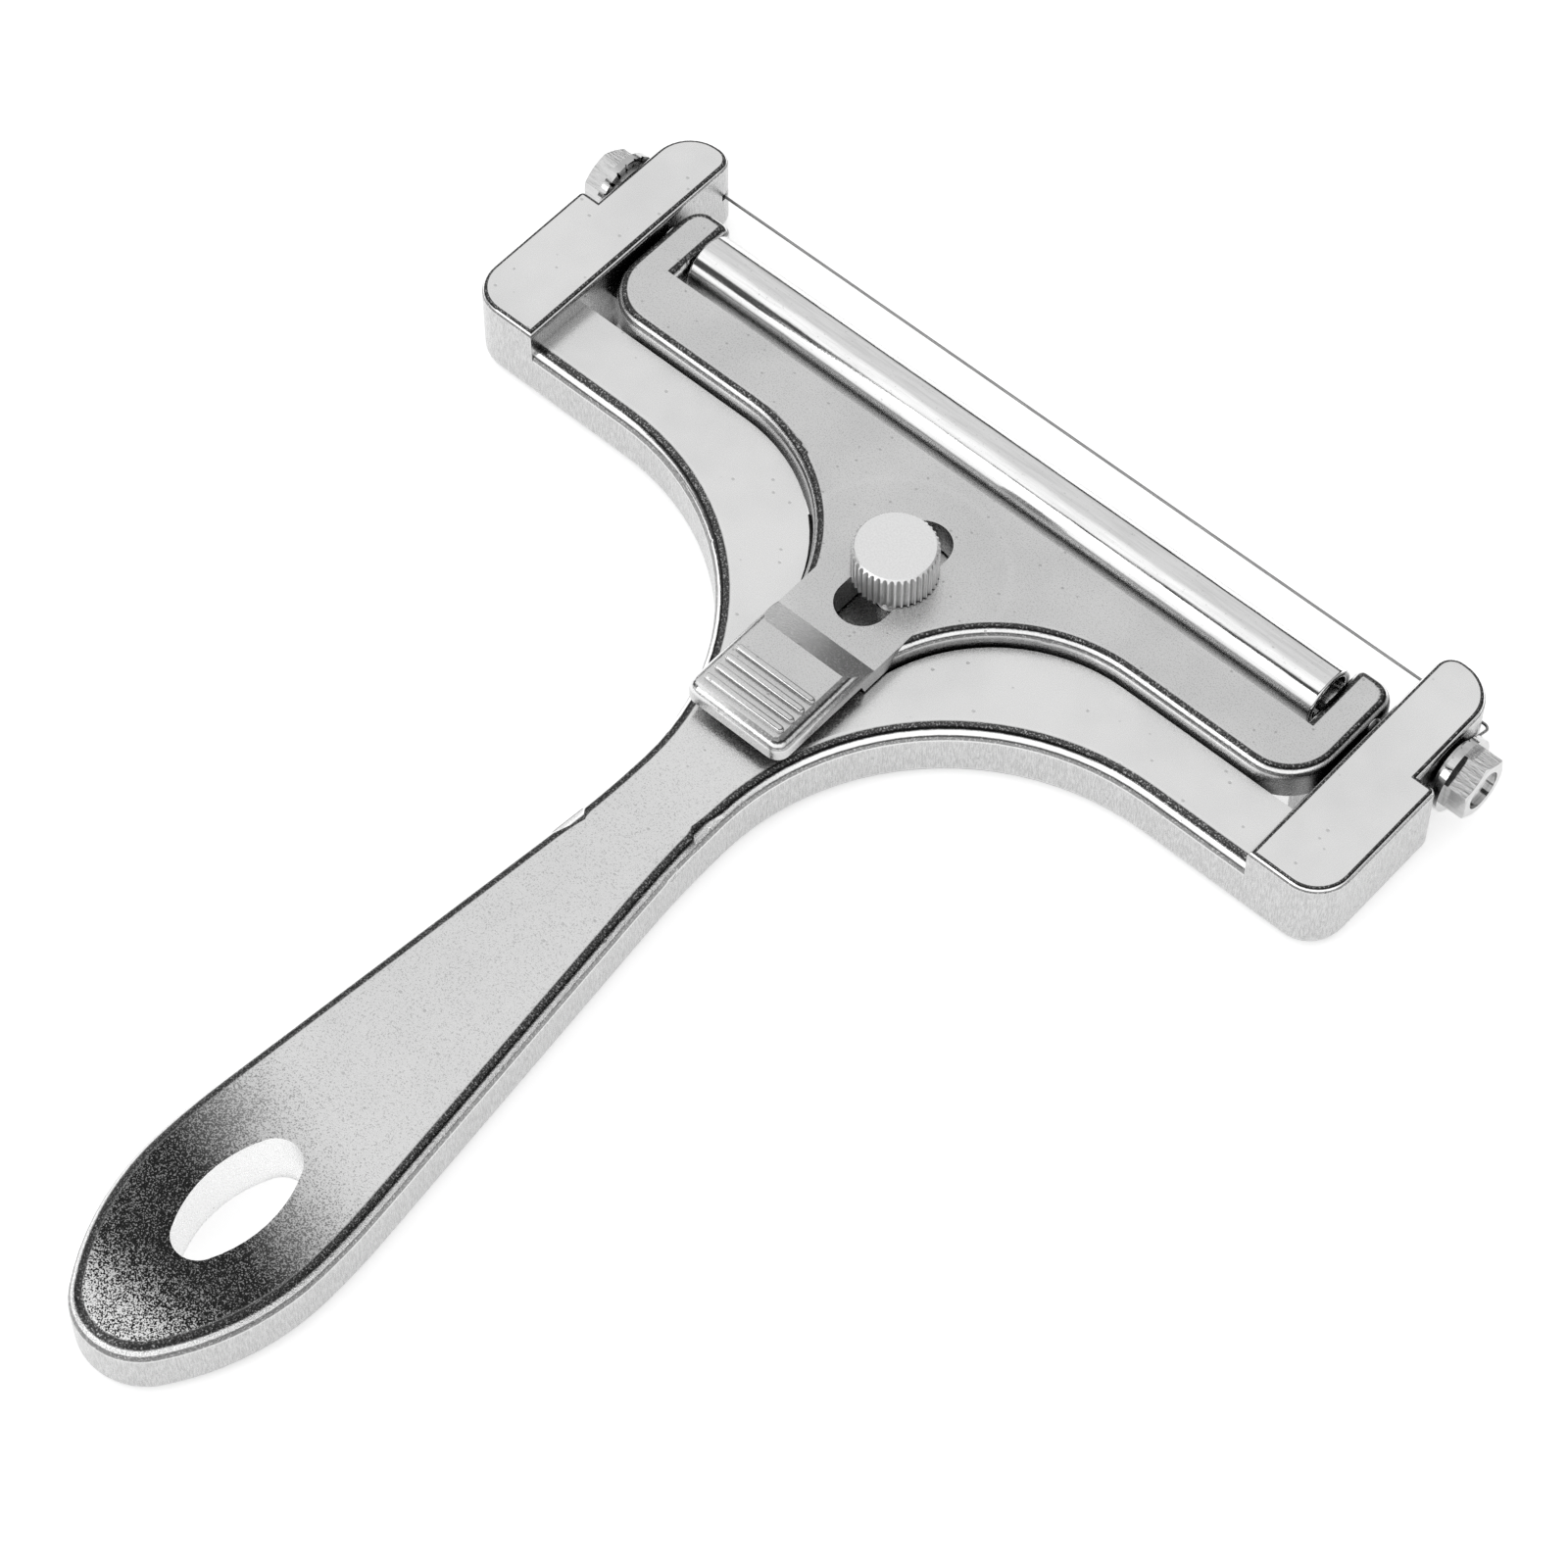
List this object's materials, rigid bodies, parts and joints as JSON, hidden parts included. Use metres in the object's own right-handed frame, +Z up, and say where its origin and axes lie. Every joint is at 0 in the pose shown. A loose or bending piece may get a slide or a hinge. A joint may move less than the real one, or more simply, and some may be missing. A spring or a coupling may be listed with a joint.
{
  "type": "cheese wire cutter",
  "caption": "Hand-held cheese wire cutter: T-shaped cast frame with a taut wire between raised ears, a roller on a sliding carriage and a fluted clamping screw.",
  "frame": {"origin": "middle of the overall bounding box in plan, on the flat underside the tool lies on", "axes": "+Z up, +Y from the handle's end to the wire, +X to the right; symmetric about X = 0"},
  "size_m": [0.124, 0.15, 0.0152],
  "materials": {
    "plated_casting": "nickel-plated casting, lightly grained",
    "polished_tube": "polished tube",
    "steel_rod": "ground rod",
    "bush_plastic": "moulded, dark",
    "knob_metal": "fine matte top, fluted edge",
    "steel_thread": "rolled thread",
    "wire_steel": "drawn stainless wire",
    "bright_screw": "bright plated, brushed flats",
    "washer_steel": "plain washer"
  },
  "bodies": {
    "frame_body": {"frame": "plated_casting", "cutting_wire": "wire_steel", "wire_screw_left": "bright_screw", "wire_screw_right": "bright_screw", "wire_washer_left": "washer_steel", "wire_washer_right": "washer_steel"},
    "carriage_body": {"roller_carriage": "plated_casting", "roller_axle": "steel_rod"},
    "roller_body": {"roller_tube": "polished_tube", "roller_bush_left": "bush_plastic", "roller_bush_right": "bush_plastic"},
    "stud_body": {"thumb_screw_stud": "steel_thread"},
    "knob_body": {"thumb_screw_knob": "knob_metal"}
  },
  "joints": [
    {"name": "carriage_slide", "type": "slide", "parent": "frame_body", "child": "carriage_body", "axis": [0, 1, 0], "range_m": [0, 0.0045]},
    {"name": "roller_spin", "type": "hinge", "parent": "carriage_body", "child": "roller_body", "pos_m": [0, 0.06325, 0.0083], "axis": [1, 0, 0], "continuous": true},
    {"name": "thumb_screw_lift", "type": "slide", "parent": "frame_body", "child": "stud_body", "axis": [0, 0, 1], "range_m": [0, 0.0014]},
    {"name": "thumb_screw_turn", "type": "hinge", "parent": "stud_body", "child": "knob_body", "pos_m": [0, 0.04425, 0.012], "axis": [0, 0, 1], "range_deg": [0, 720]}
  ],
  "couplings": [
    {"joint": "thumb_screw_turn", "follows": "thumb_screw_lift", "rad_per_m": 8976}
  ]
}
